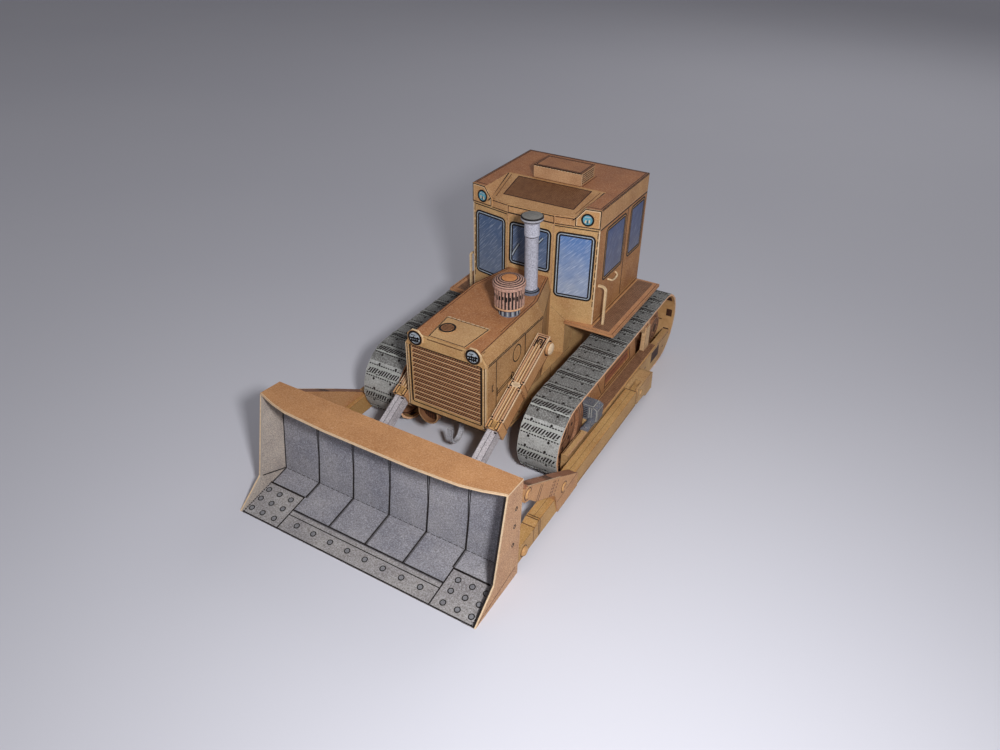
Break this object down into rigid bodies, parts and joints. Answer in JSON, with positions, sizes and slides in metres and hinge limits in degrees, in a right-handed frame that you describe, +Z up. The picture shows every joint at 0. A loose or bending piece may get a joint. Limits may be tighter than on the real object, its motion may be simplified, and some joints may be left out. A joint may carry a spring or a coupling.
{
  "type": "card model bulldozer",
  "caption": "Small card model of a crawler bulldozer with a cab, tracks and a straight blade that lifts on push arms and two cylinders.",
  "frame": {"origin": "on the floor under the middle of the model, blade to track end", "axes": "+Z up, the blade points along -Y, +X is the machine's left side"},
  "size_m": [0.1312, 0.2433, 0.1193],
  "materials": {
    "orange_card": "matte printed card",
    "tan_card": "matte printed card",
    "grey_card": "matte printed card",
    "track_card": "matte printed card",
    "rust_card": "matte printed card",
    "cream_card": "matte printed card",
    "steel_card": "matte printed card",
    "lamp_card": "matte printed card"
  },
  "bodies": {
    "tractor": {"hull": "orange_card", "sump_nose": "rust_card", "tow_hook": "steel_card", "drawbar": "steel_card", "hood": "orange_card", "radiator_frame": "orange_card", "radiator_louvres": "rust_card", "headlights": "lamp_card", "filler_panel": "tan_card", "air_cleaner": "tan_card", "exhaust": "grey_card", "cab_front": "orange_card", "cab_front_left": "orange_card", "cab_front_right": "orange_card", "cab_side_left": "orange_card", "cab_side_right": "orange_card", "cab_rear": "orange_card", "cab_cowl": "orange_card", "floor_plate": "tan_card", "cab_roof": "tan_card", "roof_box": "tan_card", "roof_lamps": "lamp_card", "cross_beam": "orange_card", "trunnions": "cream_card", "grab_rail_left": "cream_card", "track_left": "track_card", "track_frame_left": "orange_card", "step_plate_left": "rust_card", "idler_left": "rust_card", "idler_yoke_left": "grey_card", "final_drive_left": "rust_card", "carrier_roller_left": "cream_card", "spring_housing_left": "orange_card", "arm_bracket_left": "orange_card", "grab_rail_right": "cream_card", "track_right": "track_card", "track_frame_right": "orange_card", "step_plate_right": "rust_card", "idler_right": "rust_card", "idler_yoke_right": "grey_card", "final_drive_right": "rust_card", "carrier_roller_right": "cream_card", "spring_housing_right": "orange_card", "arm_bracket_right": "orange_card"},
    "blade_frame": {"moldboard": "grey_card", "visor": "orange_card", "cutting_edge": "grey_card", "blade_beams": "orange_card", "end_plate_left": "orange_card", "end_plate_right": "orange_card", "push_arm_left": "orange_card", "push_arm_right": "orange_card", "brace_left": "orange_card", "brace_right": "orange_card"},
    "cylinder_left": {"cylinder_casing_left": "cream_card"},
    "ram_left": {"rod_left": "steel_card"},
    "cylinder_right": {"cylinder_casing_right": "cream_card"},
    "ram_right": {"rod_right": "steel_card"}
  },
  "joints": [
    {"name": "blade_lift", "type": "hinge", "parent": "tractor", "child": "blade_frame", "pos_m": [0, 0.049, 0.0105], "axis": [-1, 0, 0], "range_deg": [0, 14]},
    {"name": "cylinder_left_swing", "type": "hinge", "parent": "tractor", "child": "cylinder_left", "pos_m": [0.0263, 0.0016, 0.0534], "axis": [-1, 0, 0], "range_deg": [0, 19.2]},
    {"name": "ram_left_slide", "type": "slide", "parent": "cylinder_left", "child": "ram_left", "axis": [0, 0.8931, 0.4498], "range_m": [0, 0.0138]},
    {"name": "cylinder_right_swing", "type": "hinge", "parent": "tractor", "child": "cylinder_right", "pos_m": [-0.0263, 0.0016, 0.0534], "axis": [-1, 0, 0], "range_deg": [0, 19.2]},
    {"name": "ram_right_slide", "type": "slide", "parent": "cylinder_right", "child": "ram_right", "axis": [0, 0.8931, 0.4498], "range_m": [0, 0.0138]}
  ],
  "couplings": [
    {"joint": "cylinder_left_swing", "follows": "blade_lift", "ratio": 1.356},
    {"joint": "ram_left_slide", "follows": "blade_lift", "m_per_rad": 0.0558},
    {"joint": "cylinder_right_swing", "follows": "blade_lift", "ratio": 1.356},
    {"joint": "ram_right_slide", "follows": "blade_lift", "m_per_rad": 0.0558}
  ]
}
